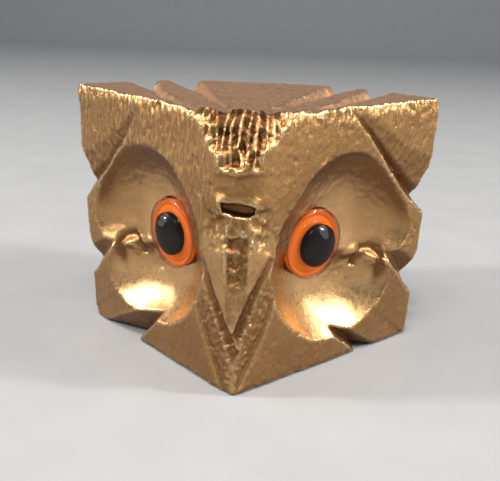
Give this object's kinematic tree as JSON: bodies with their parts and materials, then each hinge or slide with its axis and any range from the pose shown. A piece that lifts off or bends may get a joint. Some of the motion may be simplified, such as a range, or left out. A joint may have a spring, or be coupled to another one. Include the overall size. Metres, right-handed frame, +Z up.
{
  "type": "owl figurine",
  "caption": "Cube-shaped gilt metal owl head ornament seen corner-on, with carved eye bowls, domed orange glass eyes, an edge-on beak and a felted flat base.",
  "frame": {"origin": "on the resting plane, under the centre of the bounding box", "axes": "+Z up, -Y the way the beak edge points, +X across the two ear tips"},
  "size_m": [0.0728, 0.068, 0.05],
  "materials": {
    "gilt_metal": "gilt, part polished and part chiselled",
    "eye_glass": "polished",
    "eye_black": "gloss enamel",
    "eye_orange": "gloss enamel",
    "eye_backing": "matt",
    "plate": "dull",
    "felt": "felt"
  },
  "bodies": {
    "root": {"owl_casting": "gilt_metal", "base_plate": "plate", "felt_pad": "felt", "left_eye_lens": "eye_glass", "left_eye_pupil": "eye_black", "left_eye_iris": "eye_orange", "left_eye_backing": "eye_backing", "right_eye_lens": "eye_glass", "right_eye_pupil": "eye_black", "right_eye_iris": "eye_orange", "right_eye_backing": "eye_backing"}
  },
  "joints": []
}
